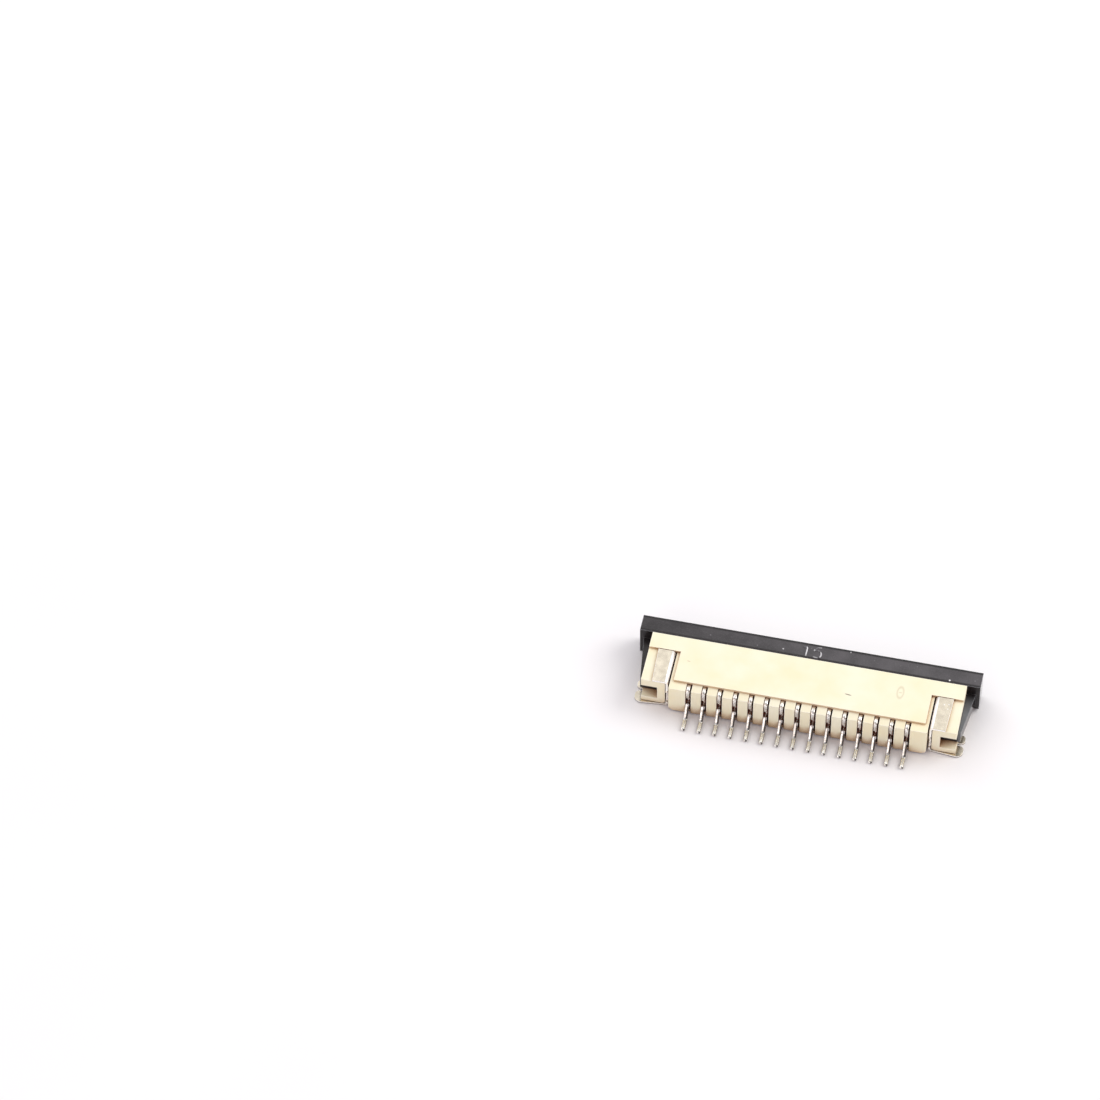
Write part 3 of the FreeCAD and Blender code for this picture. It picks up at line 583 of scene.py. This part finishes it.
# Floor, light and camera
studio = {
    "floor": "#FDFCFD",
    "floorShade": "#FAF9FB",
    "floorCloud": 20,            # mm
    "floorClouds": (0.3, 0.7),   # noise, from floor to its shade
    "floorRoughness": 0.9,
    "floorGloss": 0.1,
    "floorSize": 1200,           # mm, wide enough to fill low views
    "floorDrop": 0.002,          # mm below the solder tails, so that they don't share a plane
    "sky": "#F8F8FA",
    "skyFrontTint": "#FFF6FB",   # the room in front, which tints the sides in shade
    "skyFront": 0.31,            # strength in front, where the room is darker
    "skyBack": 0.55,             # and behind
    "skySides": 0.6,             # more on both sides, where the white panels stand, not in front
    "panelSpan": (0.12, 0.5),    # how far to the side the panels' light begins and is full
    "panelFront": (-0.9, -0.2),  # how far in front it ends and is full
    "tintSpan": (0.2, -0.5),     # how far to the front the tint begins and is full
    "lamps": [
        # name, place in mm, size in mm, watts, colour
        ("keyLamp", (190, 110, 200), 190, 0.31, "#FFFDF8"),
        ("leftLamp", (-190, 130, 150), 190, 0.1, "#FFFFFF"),
        ("backLamp", (-30, 190, 270), 230, 0.09, "#FFFFFF"),
        ("frontLamp", (-77, -219, 105), 170, 0.09, "#FFF2EB"),
    ],
}
photoCamera = {
    "place": (30.35, -194.3, 278.74),  # mm
    "turn": (37.23, 0.583, 12.52),     # degrees
    "lens": 176.9,               # mm
    "sensor": 36,                # mm
    "clip": (10, 5000),          # mm
}


def palePaper(values):
    # Matt uncoated paper, smooth at this scale, with the faintest clouds
    material, tree, shader, inMm = newMaterial("palePaper")
    cloud = addNode(tree, "TexNoise", {"Vector": inMm, "Scale": 1 / values["floorCloud"], "Detail": 1.0})
    tone = addNode(tree, "MapRange", [cloud, *values["floorClouds"]])
    colour = addNode(tree, "Mix", {0: tone, 6: values["floor"], 7: values["floorShade"]}, out=2,
                     data_type="RGBA")
    setInputs(tree, shader, {"Base Color": colour, "Roughness": values["floorRoughness"],
                             "Specular IOR Level": values["floorGloss"]})
    return material


def layFloor(values):
    floorMesh = bpy.data.meshes.new("studio_floor")
    half = values["floorSize"] / 2 * mm
    corners = [(-half, -half, 0), (half, -half, 0), (half, half, 0), (-half, half, 0)]
    floorMesh.from_pydata(corners, [], [(0, 1, 2, 3)])
    floorObject = bpy.data.objects.new("studio_floor", floorMesh)
    floorObject.location.z = -values["floorDrop"] * mm
    bpy.context.scene.collection.objects.link(floorObject)
    floorMesh.materials.append(palePaper(values))


def softSky(values):
    # An even room, brighter behind and at both sides, darker and a little pink in front
    world = bpy.data.worlds.new("softSky")
    bpy.context.scene.world = world
    world.use_nodes = True
    tree = world.node_tree
    direction = addNode(tree, "SeparateXYZ", [addNode(tree, "TexCoord")]).node
    across, along = direction.outputs[:2]
    strength = addNode(tree, "MapRange", [along, -1.0, 1.0, values["skyFront"], values["skyBack"]])
    sideways = addNode(tree, "Math", [across], operation="ABSOLUTE")
    panels = addNode(tree, "MapRange", [sideways, *values["panelSpan"], 0.0, values["skySides"]])
    behind = addNode(tree, "MapRange", [along, *values["panelFront"]])
    glow = addNode(tree, "Math", [panels, behind, strength], operation="MULTIPLY_ADD")
    inFront = addNode(tree, "MapRange", [along, *values["tintSpan"]])
    colour = addNode(tree, "Mix", {0: inFront, 6: values["sky"], 7: values["skyFrontTint"]}, out=2,
                     data_type="RGBA")
    setInputs(tree, tree.nodes["Background"], {"Color": colour, "Strength": glow})


def hangLamps(lamps):
    # Round soft lamps, each turned to the connector
    for name, place, size, power, tint in lamps:
        data = bpy.data.lights.new(name, "AREA")
        data.shape = "DISK"
        data.size = size * mm
        data.energy = power
        data.color = linearColour(tint)[:3]
        lamp = bpy.data.objects.new(name, data)
        lamp.location = Vector(place) * mm
        lamp.rotation_euler = (-Vector(place)).to_track_quat("-Z", "Y").to_euler()
        bpy.context.scene.collection.objects.link(lamp)


def setCamera(values):
    data = bpy.data.cameras.new("photoCamera")
    data.lens = values["lens"]
    data.sensor_width = values["sensor"]
    data.clip_start, data.clip_end = [distance * mm for distance in values["clip"]]
    camera = bpy.data.objects.new("photoCamera", data)
    camera.location = Vector(values["place"]) * mm
    camera.rotation_euler = [math.radians(angle) for angle in values["turn"]]
    bpy.context.scene.collection.objects.link(camera)
    bpy.context.scene.camera = camera


layFloor(studio)
softSky(studio)
hangLamps(studio["lamps"])
setCamera(photoCamera)
bpy.context.scene.view_settings.view_transform = "Standard"
print("studio set up")
